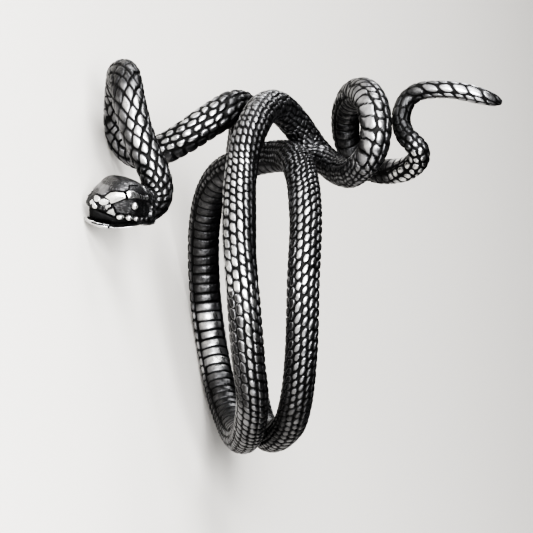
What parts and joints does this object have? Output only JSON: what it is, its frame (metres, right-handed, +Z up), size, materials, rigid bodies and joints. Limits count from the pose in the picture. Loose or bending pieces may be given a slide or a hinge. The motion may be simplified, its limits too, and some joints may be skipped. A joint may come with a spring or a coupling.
{
  "type": "snake wrap ring",
  "caption": "Cast silver finger ring in the form of a scaled snake that wraps the finger twice, with a raised neck loop, an open-mouthed head and a curled tail.",
  "frame": {"origin": "centre of the footprint's box, on the surface that the ring lies on", "axes": "+Z up from that surface; the finger hole's axis leans 26 degrees from +Z, towards +X and +Y, with the tail's end of the hole up and the head's end down"},
  "size_m": [0.0312, 0.0268, 0.0287],
  "materials": {
    "silver": "cast sterling silver, blackened in the grooves, with polished scale tops"
  },
  "bodies": {
    "root": {"snake": "silver"}
  },
  "joints": []
}
